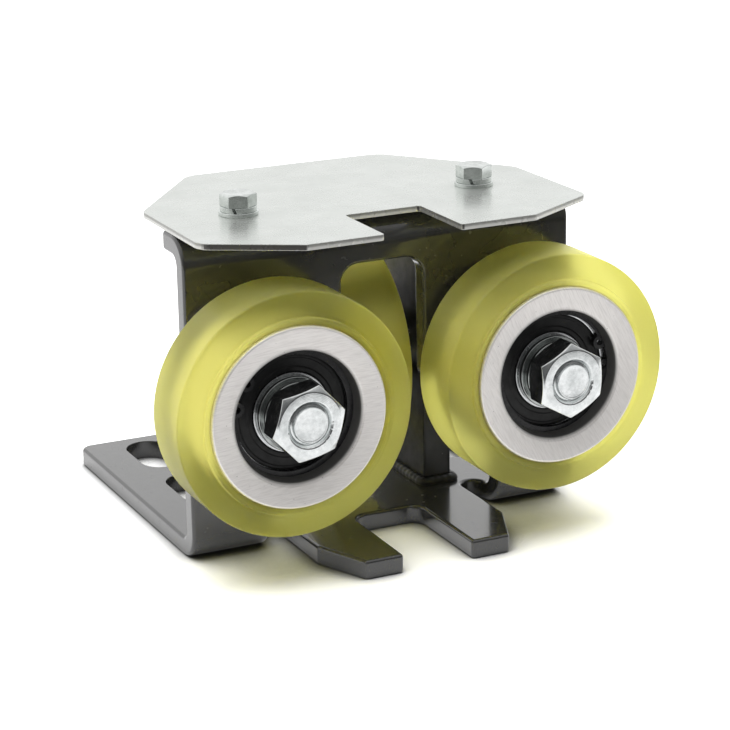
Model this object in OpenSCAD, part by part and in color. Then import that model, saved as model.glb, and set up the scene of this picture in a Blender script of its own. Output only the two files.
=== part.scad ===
// Roller guide shoe for a lift car: a bent plate frame, two side rollers that
// grip the rail blade and a third roller behind them that runs on its nose.
// Millimetres, +Z up, front (the rail side) towards -Y. The origin lies on the
// floor plane, on the symmetry plane, at the front face of the upright wall.

/* [Bent plate frame] */
// Thickness of the plate
plate_t = 8; // [5:0.5:12]
// Width over the wall, the foot and the top flange
frame_w = 171; // [150:1:220]
// Height from the floor to the top of the flange
frame_h = 133; // [128:1:180]
// Outer radius of both bends
bend_r = 12; // [10:0.5:18]
// Depth of the foot, from the front face of the wall
foot_depth = 138.5; // [125:0.5:200]
// Corner radius at the back of the foot
foot_corner_r = 5; // [1:0.5:15]
// Depth of the top flange, from the front face of the wall
flange_depth = 40; // [34:0.5:60]
// Depth at which the flange starts to narrow
flange_straight = 21; // [14:0.5:33]
// Width that each side of the flange loses towards its back edge
flange_taper = 19.5; // [5:0.5:25]

/* [Wall opening] */
// Free gap between the rear tyre and each side of the window
window_gap = 3; // [1:0.1:8]
// Height of the top edge of the window
window_top = 114.5; // [90:0.5:118]
// Corner radius of the window
window_r = 8; // [2:0.5:12]
// Width of the cut that frees the fork from the plate
relief_w = 10; // [6:0.5:14]
// Height at which the wide opening starts to narrow
opening_shoulder = 38; // [25:0.5:42]
// Height of the top edge of the wide opening
opening_top = 61; // [50:0.5:70]
// Half the width of the wide opening at its top edge
opening_top_half = 40.5; // [30:0.5:42]
// Corner radius of the wide opening
opening_r = 5; // [1:0.5:8]

/* [Rail fork] */
// Thickness of the rail blade that the front rollers grip
blade_t = 16; // [10:0.5:20]
// Free gap between the blade and each side of the fork slot
blade_gap = 7.2; // [4:0.1:12]
// Half the width of the fork at its root
fork_half_w = 42; // [34:0.5:46]
// Half the width of the fork at its tips
fork_tip_half_w = 31.9; // [24:0.1:33]
// How far the tips stand in front of the wall
fork_reach = 47.5; // [30:0.5:70]
// How far in front of the wall the fork starts to narrow
fork_shoulder = 23.4; // [10:0.1:28]
// Place of the bottom of the slot behind the front face of the wall
slot_bottom = 0.7; // [-5:0.1:6]
// Corner radius at the bottom of the slot
slot_r = 6; // [1:0.5:10]
// Corner radius of the tips
tip_r = 1.5; // [0.5:0.5:4]

/* [Fixing slots] */
// Width of each slot in the foot
foot_slot_w = 18.5; // [12:0.5:22]
// Length of each slot, over its round ends
foot_slot_len = 37; // [24:0.5:42]
// Distance between the left and the right slots
foot_slot_dx = 119; // [100:1:130]
// Distance between the front and the rear slots
foot_slot_dy = 49; // [44:0.5:60]
// Depth of the middle of the slot pattern behind the wall
foot_slot_y = 88; // [80:0.5:100]

/* [Rear post] */
// Thickness of the post that carries the rear roller
post_t = 12.5; // [8:0.5:16]
// Place of its front edge behind the front face of the wall
post_front = 21.5; // [14:0.5:26]
// Depth of the post from front to back
post_depth = 53.5; // [45:0.5:70]
// Height that its back edge loses to the sloping corner
post_slope = 32; // [5:1:40]
// Leg of the weld bead round its foot
weld_leg = 4; // [2:0.5:5]

/* [Cover plate] */
// Thickness of the cover
cover_t = 2.5; // [1.5:0.25:5]
// How far each side of the cover lies inside the sides of the frame
cover_inset = 0.5; // [0:0.1:5]
// How far the cover stands in front of the wall
cover_front = 37; // [25:0.5:60]
// How far the cover runs behind the front face of the wall
cover_back = 97; // [60:0.5:140]
// Width that each side loses towards the front edge
cover_front_taper = 35.5; // [15:0.5:45]
// Width that each side loses towards the back edge
cover_back_taper = 39.8; // [15:0.1:50]
// How far in front of the wall its sides start
cover_side_front = 16; // [5:0.5:24]
// How far behind the wall its sides end
cover_side_back = 44.3; // [30:0.1:55]
// Free gap between the blade and each side of the notch
notch_gap = 8.5; // [4:0.1:12]
// Place of the bottom of its notch in front of the wall
notch_bottom = 0.8; // [-4:0.1:5]
// Radius of the front side corners
cover_side_r = 8; // [1:0.5:12]
// Radius of the two pairs of back corners
cover_back_r = 10; // [1:0.5:16]
// Radius of the corners of the front edge
cover_front_r = 3; // [0.5:0.5:8]
// Radius of the corners of the notch
notch_r = 1.5; // [0.5:0.5:5]

/* [Cover screws] */
// Thread diameter of the cover screws
screw_d = 8; // [5:1:10]
// Length of the cover screws under the head
screw_len = 16; // [14:1:30]
// Width across the flats of their heads
screw_af = 13; // [8:0.5:17]
// Height of their heads
screw_head_h = 5.3; // [3:0.1:7]
// Distance between the two screws
screw_dx = 105.5; // [90:0.5:130]
// Place of the screws behind the front face of the wall
screw_y = 21.5; // [18:0.5:30]
// Diameter of the flat washers
screw_washer_d = 16; // [12:0.5:24]
// Thickness of the flat washers
screw_washer_t = 1.6; // [1:0.1:2.5]
// Diameter of the spring washers
screw_lock_d = 14.8; // [10:0.1:18]
// Thickness of the spring washers
screw_lock_t = 2; // [1:0.1:3]

/* [Rollers] */
// Radius of the tyres
tyre_r = 50; // [44:0.5:54]
// Half the width of the tread
tread_half = 13.3; // [8:0.1:14]
// Half the width of the tyre at the foot of its sloping side
tyre_half = 15.2; // [14.5:0.1:16]
// Radius at which the sloping side starts
tyre_side_r = 38.2; // [37:0.1:42]
// Radius of the edge between the tread and the side
tread_edge_r = 2; // [0.5:0.5:3]
// Outer radius of the hubs
hub_r = 35.7; // [32:0.1:37]
// Half the width of the hubs
hub_half = 15.75; // [14.75:0.25:18]
// Chamfer on the edges of the hubs
hub_chamfer = 0.4; // [0.1:0.1:1]
// Inner radius of the shoulder behind the bearing
hub_shoulder_r = 22.8; // [20:0.1:24]
// Squeeze of each front tyre on the blade
squeeze = 1; // [0:0.1:2]
// Place of the tread of the rear roller in front of the wall
nose_y = 2; // [0:0.5:6]
// Height of the axles of the front rollers
front_axle_z = 70; // [66:0.5:72]
// Height of the axle of the rear roller
rear_axle_z = 65; // [60:0.5:72]
// Distance from the middle of a roller to the face that carries it
standoff = 28.5; // [20:0.5:30]

/* [Bearings] */
// Bore of the bearings
bearing_bore = 25; // [20:1:30]
// Outer diameter of the bearings
bearing_od = 52; // [47:1:56]
// Width of the bearings
bearing_w = 15; // [12:0.5:16]
// Diameter of the balls
ball_d = 7.94; // [6:0.01:9]
// Number of balls
ball_count = 9; // [6:1:9]
// Height of the shoulders beside the ball tracks
track_depth = 1.55; // [0.8:0.05:2]
// Width of the bare face of the outer ring
outer_rim = 2.8; // [1.5:0.1:3]
// Width of the bare face of the inner ring
inner_rim = 3.4; // [2.6:0.1:3.6]
// Thickness of the seals
seal_t = 1.2; // [0.6:0.1:1.6]
// Depth of the seals under the ring faces
seal_sink = 0.3; // [0:0.1:0.5]
// Thickness of the ball cage
cage_t = 1.6; // [0.8:0.1:2]

/* [Circlips] */
// Thickness of the circlips
clip_t = 2; // [1:0.1:2.5]
// Depth of the groove in the wall of the hub
clip_groove = 1.5; // [0.8:0.1:2.5]
// Width of the ring opposite its gap
clip_back_w = 4.9; // [3:0.1:6]
// Width of the ring beside its lugs
clip_front_w = 3.5; // [2.5:0.1:4.5]
// Radius of the lugs
lug_r = 3; // [2:0.1:3.5]
// Diameter of the holes in the lugs
lug_hole_d = 2.5; // [1.5:0.1:3]
// Angle from the middle of the gap to each lug
lug_angle = 13; // [9:1:20]

/* [Axles] */
// Thread diameter of the axle bolts
axle_d = 16; // [10:1:18]
// Width across the flats of the nuts and the bolt heads
nut_af = 27; // [24:0.5:30]
// Height of the nuts
nut_h = 11.8; // [8:0.1:14]
// Height of the bolt heads
bolt_head_h = 10; // [8:0.5:14]
// How far the bolt ends stand out of the nuts
bolt_proud = 0.5; // [0:0.1:4]
// Diameter of the flat washers
washer_d = 30; // [26:0.5:32]
// Thickness of the flat washers
washer_t = 3; // [2:0.1:4]
// Diameter of the spring washers
lock_d = 27.4; // [24:0.1:30]
// Thickness of the spring washers
lock_t = 3.2; // [2:0.1:4.5]
// Diameter of the collar between a bearing and the plate
sleeve_collar_d = 32; // [28:0.5:36]

/* [Clearances] */
// Radial clearance of a bolt in a plate or a washer
bolt_clearance = 0.5; // [0.2:0.1:1]
// Radial clearance of an axle bolt in its sleeve
sleeve_clearance = 0.2; // [0.1:0.05:0.5]
// Radial clearance between mating threads
thread_clearance = 0.05; // [0.02:0.01:0.1]
// Clearance between the balls and their tracks
track_clearance = 0.03; // [0.01:0.01:0.05]
// Clearance between the balls and the cage
cage_clearance = 0.08; // [0.05:0.01:0.1]
// Clearance between a seal lip and the inner ring
lip_clearance = 0.1; // [0.05:0.01:0.2]
// Side clearance of a circlip in its groove
groove_clearance = 0.15; // [0.05:0.05:0.3]

/* [Hidden] */
$fn = 96;
eps = 1;

frame_half = frame_w / 2;
slot_half = blade_t / 2 + blade_gap;
notch_half = blade_t / 2 + notch_gap;
window_half = tyre_half + window_gap;
opening_half = fork_half_w + relief_w;
flange_z = frame_h - plate_t;
relief_r = relief_w / 2;

front_axle_x = blade_t / 2 + tyre_r - squeeze;
rear_axle_y = tyre_r - nose_y;

bore_r = bearing_bore / 2;
bearing_r = bearing_od / 2;
bearing_half = bearing_w / 2;
pitch_r = (bore_r + bearing_r) / 2;
ball_r = ball_d / 2;
track_r = ball_r * 1.04;
outer_track_r = pitch_r + ball_r + track_clearance;
inner_track_r = pitch_r - ball_r - track_clearance;
outer_land_r = outer_track_r - track_depth;
inner_land_r = inner_track_r + track_depth;
seal_outer_r = bearing_r - outer_rim;
seal_inner_r = bore_r + inner_rim;
seal_seat = bearing_half - seal_sink - seal_t;

groove_r = bearing_r + clip_groove;
washer_z = bearing_half;
lock_z = washer_z + washer_t;
nut_z = lock_z + lock_t;
nut_front = nut_z + nut_h;
bolt_end = nut_front + bolt_proud;
axle_r = axle_d / 2;
chamfer_slope = tan(30);

cover_z = frame_h;
screw_washer_z = cover_z + cover_t;
screw_lock_z = screw_washer_z + screw_washer_t;
screw_head_z = screw_lock_z + screw_lock_t;
screw_r = screw_d / 2;

paint = [0.25, 0.25, 0.26];
zinc = [0.85, 0.87, 0.88];
alloy = [0.80, 0.79, 0.77];
urethane = [0.74, 0.75, 0.40];
steel = [0.70, 0.71, 0.73];
black = [0.08, 0.08, 0.08];

// ---- outlines ----

function unit(v) = v / norm(v);

// The sliver between a corner at p and the arc of radius r that rounds it. The
// arc leaves the two sides at a hair's angle, so that it always crosses them.
module corner(a, p, b, r) {
  u = unit(a - p);
  v = unit(b - p);
  half = acos(u * v) / 2;
  depth = r * cos(2.5);
  centre = p + unit(u + v) * depth / sin(half);
  foot_u = p + u * depth / tan(half) - centre;
  foot_v = p + v * depth / tan(half) - centre;
  margin = r / 8;
  kite = [
    centre, centre + foot_u * (1 + margin / depth),
    p - unit(u + v) * margin / sin(half), centre + foot_v * (1 + margin / depth)
  ];
  difference() {
    polygon(kite, [cross(u, v) < 0 ? [0, 1, 2, 3] : [3, 2, 1, 0]]);
    translate(centre) circle(r = r);
  }
}

// A polygon with arcs at its corners. A radius above 0 takes material off an
// outer corner, and one below 0 fills an inner corner.
module rounded(points, radii) {
  n = len(points);
  difference() {
    union() {
      polygon(points);
      for (i = [0 : n - 1])
        if (radii[i] < 0)
          corner(points[(i + n - 1) % n], points[i], points[(i + 1) % n], -radii[i]);
    }
    for (i = [0 : n - 1])
      if (radii[i] > 0)
        corner(points[(i + n - 1) % n], points[i], points[(i + 1) % n], radii[i]);
  }
}

// Both halves of a mirrored pair.
module both_sides() {
  children();
  mirror([1, 0, 0]) children();
}

// A slot along Y with round ends, centred on the origin.
module slot_outline(width, length) {
  run = length - width;
  square([width, run], center = true);
  translate([0, run / 2]) circle(d = width);
  translate([0, -run / 2]) circle(d = width);
}

// ---- frame ----

// Side section of one bend, with the outer corner of the plate at the origin.
module bend_section() {
  translate([bend_r, bend_r])
    difference() {
      intersection() {
        circle(r = bend_r);
        translate([-bend_r - eps, -bend_r - eps]) square(bend_r + eps);
      }
      circle(r = bend_r - plate_t);
    }
}

// Side section of the bent plate: foot, wall and top flange.
module plate_section() {
  bend_section();
  translate([0, frame_h]) mirror([0, 1]) bend_section();
  translate([0, bend_r]) square([plate_t, frame_h - 2 * bend_r]);
  translate([bend_r, 0]) square([foot_depth - bend_r, plate_t]);
  translate([bend_r, flange_z]) square([flange_depth - bend_r, plate_t]);
}

// Front outline of the hole in the wall: the wide opening that the fork was
// bent out of, with the window for the rear roller above it.
module wall_hole() {
  rounded(
    [
      [-opening_half, -eps], [opening_half, -eps], [opening_half, opening_shoulder],
      [opening_top_half, opening_top], [window_half, opening_top], [window_half, window_top],
      [-window_half, window_top], [-window_half, opening_top], [-opening_top_half, opening_top],
      [-opening_half, opening_shoulder]
    ],
    [0, 0, opening_r, opening_r, -opening_r, window_r, window_r, -opening_r, opening_r, opening_r]
  );
}

// Plan of the flat fork that straddles the rail.
module fork_outline() {
  root = bend_r + relief_r;
  rounded(
    [
      [-fork_half_w, root], [-fork_half_w, -fork_shoulder], [-fork_tip_half_w, -fork_reach],
      [-slot_half, -fork_reach], [-slot_half, slot_bottom], [slot_half, slot_bottom],
      [slot_half, -fork_reach], [fork_tip_half_w, -fork_reach], [fork_half_w, -fork_shoulder],
      [fork_half_w, root]
    ],
    [0, tip_r, tip_r, tip_r, -slot_r, -slot_r, tip_r, tip_r, tip_r, 0]
  );
}

// Plan of what the narrowing flange loses on the +X side.
module flange_loss() {
  polygon([
    [frame_half, flange_straight], [frame_half + eps, flange_straight],
    [frame_half + eps, flange_depth + eps],
    [frame_half - flange_taper * (1 + eps / (flange_depth - flange_straight)), flange_depth + eps]
  ]);
}

module frame() color(paint) {
  difference() {
    union() {
      difference() {
        translate([-frame_half, 0, 0])
          rotate([90, 0, 90])
            linear_extrude(frame_w) plate_section();
        translate([0, bend_r, 0])
          rotate([90, 0, 0])
            linear_extrude(bend_r + eps) wall_hole();
      }
      linear_extrude(plate_t) fork_outline();
    }
    both_sides() {
      translate([opening_half - relief_r, bend_r, -eps])
        cylinder(r = relief_r, h = plate_t + 2 * eps);
      translate([0, 0, -eps])
        linear_extrude(plate_t + 2 * eps)
          corner(
            [0, foot_depth], [frame_half, foot_depth], [frame_half, 0],
            foot_corner_r
          );
      translate([0, 0, flange_z - eps])
        linear_extrude(plate_t + 2 * eps) flange_loss();
      for (side = [-1, 1])
        translate([foot_slot_dx / 2, foot_slot_y + side * foot_slot_dy / 2, -eps])
          linear_extrude(plate_t + 2 * eps) slot_outline(foot_slot_w, foot_slot_len);
      translate([front_axle_x, plate_t + eps, front_axle_z])
        rotate([90, 0, 0])
          cylinder(r = axle_r + bolt_clearance, h = plate_t + 2 * eps);
      translate([screw_dx / 2, screw_y, flange_z - eps])
        cylinder(r = screw_r + thread_clearance, h = plate_t + 2 * eps);
    }
  }
}

// ---- rear post ----

module rear_post() color(paint) {
  height = flange_z - plate_t;
  difference() {
    translate([standoff, post_front, plate_t])
      rotate([90, 0, 90])
        linear_extrude(post_t)
          polygon([
            [0, 0], [post_depth, 0], [post_depth, height - post_slope],
            [flange_depth - post_front, height], [0, height]
          ]);
    translate([standoff - eps, rear_axle_y, rear_axle_z])
      rotate([0, 90, 0])
        cylinder(r = axle_r + bolt_clearance, h = post_t + 2 * eps);
  }
}

// Section of the bead: a triangle in the corner of post and foot.
module bead_section() {
  polygon([[0, 0], [weld_leg, 0], [0, weld_leg]]);
}

// The bead along one side of the post and round the corner at its end.
module bead_side(length) {
  rotate([90, 0, 0]) translate([0, 0, -length])
    linear_extrude(length) bead_section();
  rotate([0, 0, -90])
    rotate_extrude(angle = 90) bead_section();
}

module post_weld() color(paint) {
  corners = [
    [[standoff + post_t, post_front], 0, post_depth],
    [[standoff + post_t, post_front + post_depth], 90, post_t],
    [[standoff, post_front + post_depth], 180, post_depth],
    [[standoff, post_front], 270, post_t]
  ];
  for (c = corners)
    translate([c[0][0], c[0][1], plate_t])
      rotate([0, 0, c[1]])
        bead_side(c[2]);
}

// ---- cover ----

module cover_outline() {
  side = frame_half - cover_inset;
  front = side - cover_front_taper;
  back = side - cover_back_taper;
  rounded(
    [
      [notch_half, -cover_front], [front, -cover_front], [side, -cover_side_front],
      [side, cover_side_back], [back, cover_back], [-back, cover_back],
      [-side, cover_side_back], [-side, -cover_side_front], [-front, -cover_front],
      [-notch_half, -cover_front], [-notch_half, -notch_bottom], [notch_half, -notch_bottom]
    ],
    [
      notch_r, cover_front_r, cover_side_r, cover_back_r, cover_back_r, cover_back_r,
      cover_back_r, cover_side_r, cover_front_r, notch_r, -notch_r, -notch_r
    ]
  );
}

module at_cover_screws(z) {
  both_sides() translate([screw_dx / 2, screw_y, z]) children();
}

module cover_plate() color(zinc) {
  difference() {
    translate([0, 0, cover_z]) linear_extrude(cover_t) cover_outline();
    at_cover_screws(cover_z - eps)
      cylinder(r = screw_r + bolt_clearance, h = cover_t + 2 * eps);
  }
}

module cover_flat_washers() color(zinc) {
  at_cover_screws(screw_washer_z)
    flat_washer(screw_washer_d, screw_washer_t, screw_r + bolt_clearance);
}

module cover_spring_washers() color(zinc) {
  for (side = [-1, 1])
    translate([side * screw_dx / 2, screw_y, screw_lock_z])
      rotate([0, 0, -124])
        spring_washer(screw_lock_d, screw_lock_t, screw_r + sleeve_clearance);
}

module cover_screws() color(zinc) {
  turn = [37, 29];
  for (i = [0, 1])
    translate([(i * 2 - 1) * screw_dx / 2, screw_y, screw_head_z])
      rotate([0, 0, turn[i]]) {
        hex_block(screw_af, screw_head_h, false, true);
        threaded_shank(screw_r, screw_len);
      }
}

// ---- fasteners, all standing along +Z ----

module flat_washer(diameter, thickness, hole_r) {
  difference() {
    cylinder(d = diameter, h = thickness);
    translate([0, 0, -eps]) cylinder(r = hole_r, h = thickness + 2 * eps);
  }
}

// A split washer, pressed flat, with its slanting gap towards +X.
module spring_washer(diameter, thickness, hole_r) {
  gap = thickness / 2;
  difference() {
    flat_washer(diameter, thickness, hole_r);
    translate([diameter / 2, 0, thickness / 2])
      rotate([25, 0, 0])
        cube([diameter, gap, thickness * 3], center = true);
  }
}

// A hexagonal block with its corners turned off at the chosen ends.
module hex_block(af, height, low, high) {
  corner_r = af / 2 / cos(30);
  face_r = af / 2 * 0.96;
  cut = (corner_r + eps - face_r) * chamfer_slope;
  low_r = low ? face_r : corner_r + eps;
  high_r = high ? face_r : corner_r + eps;
  intersection() {
    cylinder(r = corner_r, h = height, $fn = 6);
    rotate_extrude()
      polygon([
        [0, 0], [low_r, 0], [corner_r + eps, low ? cut : height / 4],
        [corner_r + eps, height - (high ? cut : height / 4)], [high_r, height], [0, height]
      ]);
  }
}

// A plain shank that hangs from z = 0, with a chamfered end.
module threaded_shank(radius, length) {
  cut = radius / 8;
  rotate_extrude()
    polygon([
      [0, eps], [radius, eps], [radius, cut - length], [radius - cut, -length], [0, -length]
    ]);
}

// ---- roller, all pieces round +Z with the nut end up ----

module tyre() color(urethane) {
  rotate_extrude()
    rounded(
      [
        [hub_r, -tyre_half], [tyre_side_r, -tyre_half], [tyre_r, -tread_half],
        [tyre_r, tread_half], [tyre_side_r, tyre_half], [hub_r, tyre_half]
      ],
      [0, 0, tread_edge_r, tread_edge_r, 0, 0]
    );
}

module hub() color(alloy) {
  c = hub_chamfer;
  groove_top = bearing_half + clip_t + groove_clearance;
  rotate_extrude()
    polygon([
      [hub_shoulder_r, c - hub_half], [hub_shoulder_r + c, -hub_half], [hub_r - c / 2, -hub_half],
      [hub_r, c / 2 - hub_half], [hub_r, hub_half - c / 2], [hub_r - c / 2, hub_half],
      [bearing_r + c, hub_half], [bearing_r, hub_half - c], [bearing_r, groove_top],
      [groove_r, groove_top], [groove_r, bearing_half], [bearing_r, bearing_half],
      [bearing_r, -bearing_half], [hub_shoulder_r, -bearing_half]
    ]);
}

module outer_ring() color(steel) {
  rotate_extrude()
    difference() {
      translate([outer_land_r, -bearing_half])
        square([bearing_r - outer_land_r, bearing_w]);
      translate([outer_track_r - track_r, 0]) circle(r = track_r);
      for (side = [-1, 1])
        translate([outer_land_r - eps, side < 0 ? -bearing_half - eps : seal_seat])
          square([seal_outer_r - outer_land_r + eps, bearing_half - seal_seat + eps]);
    }
}

module inner_ring() color(steel) {
  step = seal_seat - lip_clearance;
  rotate_extrude()
    difference() {
      union() {
        translate([bore_r, -bearing_half]) square([seal_inner_r - bore_r, bearing_w]);
        translate([bore_r, -step]) square([inner_land_r - bore_r, 2 * step]);
      }
      translate([inner_track_r + track_r, 0]) circle(r = track_r);
    }
}

module balls() color(steel) {
  for (i = [0 : ball_count - 1])
    rotate([0, 0, i * 360 / ball_count])
      translate([pitch_r, 0, 0]) sphere(r = ball_r);
}

module ball_cage() color(steel) {
  half = ball_r + cage_clearance + cage_t / 2;
  inner = pitch_r - cage_t / 2;
  difference() {
    cylinder(r = pitch_r + cage_t / 2, h = 2 * half, center = true);
    cylinder(r = inner, h = 2 * half + eps, center = true);
    for (i = [0 : ball_count - 1])
      rotate([0, 0, i * 360 / ball_count])
        translate([inner / 2, 0, 0])
          rotate([0, 90, 0])
            cylinder(r = ball_r + cage_clearance, h = inner);
  }
}

module seals() color(black) {
  inner = seal_inner_r + lip_clearance;
  for (side = [-1, 1])
    translate([0, 0, side < 0 ? -seal_seat - seal_t : seal_seat])
      flat_washer(2 * seal_outer_r, seal_t, inner);
}

// The gap of the circlip faces +X before it is turned.
module circlip(gap_angle) color(black) {
  ring_r = groove_r;
  hole_r = ring_r - (clip_back_w + clip_front_w) / 2;
  shift = (clip_back_w - clip_front_w) / 2;
  lug_pitch = bearing_r - lug_r + 0.6;
  reach = 2 * ring_r;
  translate([0, 0, bearing_half])
    rotate([0, 0, gap_angle])
      linear_extrude(clip_t)
        difference() {
          union() {
            difference() {
              circle(r = ring_r);
              translate([shift, 0]) circle(r = hole_r);
              polygon([
                [0, 0],
                [reach * cos(lug_angle), reach * sin(lug_angle)],
                [reach * cos(lug_angle), -reach * sin(lug_angle)]
              ]);
            }
            for (side = [-1, 1])
              rotate([0, 0, side * lug_angle])
                translate([lug_pitch, 0]) circle(r = lug_r);
          }
          for (side = [-1, 1])
            rotate([0, 0, side * lug_angle])
              translate([lug_pitch, 0]) circle(d = lug_hole_d);
        }
}

module sleeve() color(zinc) {
  hole_r = axle_r + sleeve_clearance;
  collar_r = sleeve_collar_d / 2;
  rotate_extrude()
    polygon([
      [hole_r, -standoff], [collar_r, -standoff], [collar_r, -bearing_half],
      [bore_r, -bearing_half], [bore_r, bearing_half], [hole_r, bearing_half]
    ]);
}

module axle_washers(carrier_t) color(zinc) {
  translate([0, 0, washer_z])
    flat_washer(washer_d, washer_t, axle_r + bolt_clearance);
  translate([0, 0, -standoff - carrier_t - washer_t])
    flat_washer(washer_d, washer_t, axle_r + bolt_clearance);
}

module axle_spring_washer(turn) color(zinc) {
  translate([0, 0, lock_z])
    rotate([0, 0, turn])
      spring_washer(lock_d, lock_t, axle_r + sleeve_clearance);
}

module axle_nut(turn) color(zinc) {
  sink = 1.3;
  translate([0, 0, nut_z])
    rotate([0, 0, turn])
      difference() {
        hex_block(nut_af, nut_h, true, true);
        translate([0, 0, -eps])
          cylinder(r = axle_r + thread_clearance, h = nut_h + 2 * eps);
        translate([0, 0, nut_h - sink])
          cylinder(r1 = axle_r + thread_clearance, r2 = axle_r + sink, h = sink);
      }
}

module axle_bolt(carrier_t, turn) color(zinc) {
  seat = -standoff - carrier_t - washer_t;
  translate([0, 0, seat])
    mirror([0, 0, 1])
      rotate([0, 0, turn]) {
        hex_block(nut_af, bolt_head_h, false, true);
        threaded_shank(axle_r, bolt_end - seat);
      }
}

module at_left() {
  translate([-front_axle_x, -standoff, front_axle_z]) rotate([90, 0, 0]) children();
}

module at_right() {
  translate([front_axle_x, -standoff, front_axle_z]) rotate([90, 0, 0]) children();
}

module at_rear() {
  translate([0, rear_axle_y, rear_axle_z]) rotate([0, -90, 0]) children();
}

module left_tyre() { at_left() tyre(); }
module left_hub() { at_left() hub(); }
module left_outer_ring() { at_left() outer_ring(); }
module left_inner_ring() { at_left() inner_ring(); }
module left_balls() { at_left() balls(); }
module left_ball_cage() { at_left() ball_cage(); }
module left_seals() { at_left() seals(); }
module left_circlip() { at_left() circlip(-20); }
module left_sleeve() { at_left() sleeve(); }
module left_axle_bolt() { at_left() axle_bolt(plate_t, 10); }
module left_axle_washers() { at_left() axle_washers(plate_t); }
module left_spring_washer() { at_left() axle_spring_washer(-60); }
module left_axle_nut() { at_left() axle_nut(13); }

module right_tyre() { at_right() tyre(); }
module right_hub() { at_right() hub(); }
module right_outer_ring() { at_right() outer_ring(); }
module right_inner_ring() { at_right() inner_ring(); }
module right_balls() { at_right() balls(); }
module right_ball_cage() { at_right() ball_cage(); }
module right_seals() { at_right() seals(); }
module right_circlip() { at_right() circlip(30); }
module right_sleeve() { at_right() sleeve(); }
module right_axle_bolt() { at_right() axle_bolt(plate_t, 25); }
module right_axle_washers() { at_right() axle_washers(plate_t); }
module right_spring_washer() { at_right() axle_spring_washer(-75); }
module right_axle_nut() { at_right() axle_nut(30); }

module rear_tyre() { at_rear() tyre(); }
module rear_hub() { at_rear() hub(); }
module rear_outer_ring() { at_rear() outer_ring(); }
module rear_inner_ring() { at_rear() inner_ring(); }
module rear_balls() { at_rear() balls(); }
module rear_ball_cage() { at_rear() ball_cage(); }
module rear_seals() { at_rear() seals(); }
module rear_circlip() { at_rear() circlip(50); }
module rear_sleeve() { at_rear() sleeve(); }
module rear_axle_bolt() { at_rear() axle_bolt(post_t, 20); }
module rear_axle_washers() { at_rear() axle_washers(post_t); }
module rear_spring_washer() { at_rear() axle_spring_washer(200); }
module rear_axle_nut() { at_rear() axle_nut(8); }

frame();
rear_post();
post_weld();
cover_plate();
cover_screws();
cover_spring_washers();
cover_flat_washers();
left_tyre();
left_hub();
left_outer_ring();
left_inner_ring();
left_balls();
left_ball_cage();
left_seals();
left_circlip();
left_sleeve();
left_axle_bolt();
left_axle_washers();
left_spring_washer();
left_axle_nut();
right_tyre();
right_hub();
right_outer_ring();
right_inner_ring();
right_balls();
right_ball_cage();
right_seals();
right_circlip();
right_sleeve();
right_axle_bolt();
right_axle_washers();
right_spring_washer();
right_axle_nut();
rear_tyre();
rear_hub();
rear_outer_ring();
rear_inner_ring();
rear_balls();
rear_ball_cage();
rear_seals();
rear_circlip();
rear_sleeve();
rear_axle_bolt();
rear_axle_washers();
rear_spring_washer();
rear_axle_nut();
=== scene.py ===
"""Looks of the roller guide shoe: bent plate frame, cover plate, post and three rollers.

Metres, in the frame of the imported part: +Z up along the rail, -Y towards the rail side.
Sizes of the pieces are held in millimetres, as in the part's source.
"""

import logging
import math
from contextlib import contextmanager
from dataclasses import dataclass
from enum import Enum
from typing import Callable, Iterator, Sequence

import bpy
from mathutils import Matrix, Vector


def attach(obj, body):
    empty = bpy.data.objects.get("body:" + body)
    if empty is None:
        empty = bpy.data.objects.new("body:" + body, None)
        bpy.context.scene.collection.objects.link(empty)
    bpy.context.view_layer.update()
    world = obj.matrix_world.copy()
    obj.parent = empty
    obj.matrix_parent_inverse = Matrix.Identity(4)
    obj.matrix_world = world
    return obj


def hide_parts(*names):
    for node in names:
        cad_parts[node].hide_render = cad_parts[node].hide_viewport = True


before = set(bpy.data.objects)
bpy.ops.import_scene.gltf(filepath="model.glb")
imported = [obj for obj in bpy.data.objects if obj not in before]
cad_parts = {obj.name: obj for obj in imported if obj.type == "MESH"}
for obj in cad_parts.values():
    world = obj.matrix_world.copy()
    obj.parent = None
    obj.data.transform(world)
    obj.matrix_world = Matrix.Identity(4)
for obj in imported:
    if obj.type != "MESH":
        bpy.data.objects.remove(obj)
LOG = logging.getLogger("guide_shoe")
MM = 0.001
MERGE = 2e-6  # metres: points that lie closer are one
FLAT = 0.3  # degrees: triangles that differ by less are one face
WAVE_RATE = 20  # radians that a wave node makes of a metre at a scale of 1
Point = tuple[float, float]
Place = tuple[float, float, float]
Scales = tuple[float, float, float]
Colour = tuple[float, float, float]
Relief = tuple[float, float]
Piece = bpy.types.Object
Finish = bpy.types.Material
Node = bpy.types.Node
Socket = bpy.types.NodeSocket
Source = Socket | float | tuple[float, ...]


class Side(Enum):
    """The three places that carry a roller."""

    LEFT = "left"
    RIGHT = "right"
    REAR = "rear"


class Cut(Enum):
    """What a tool piece does to the piece that it is set on."""

    TAKE_OFF = "DIFFERENCE"
    KEEP_INSIDE = "INTERSECT"


class Slope(Enum):
    """How a value goes from one end of a range to the other."""

    STRAIGHT = "LINEAR"
    SMOOTH = "SMOOTHSTEP"


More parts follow.
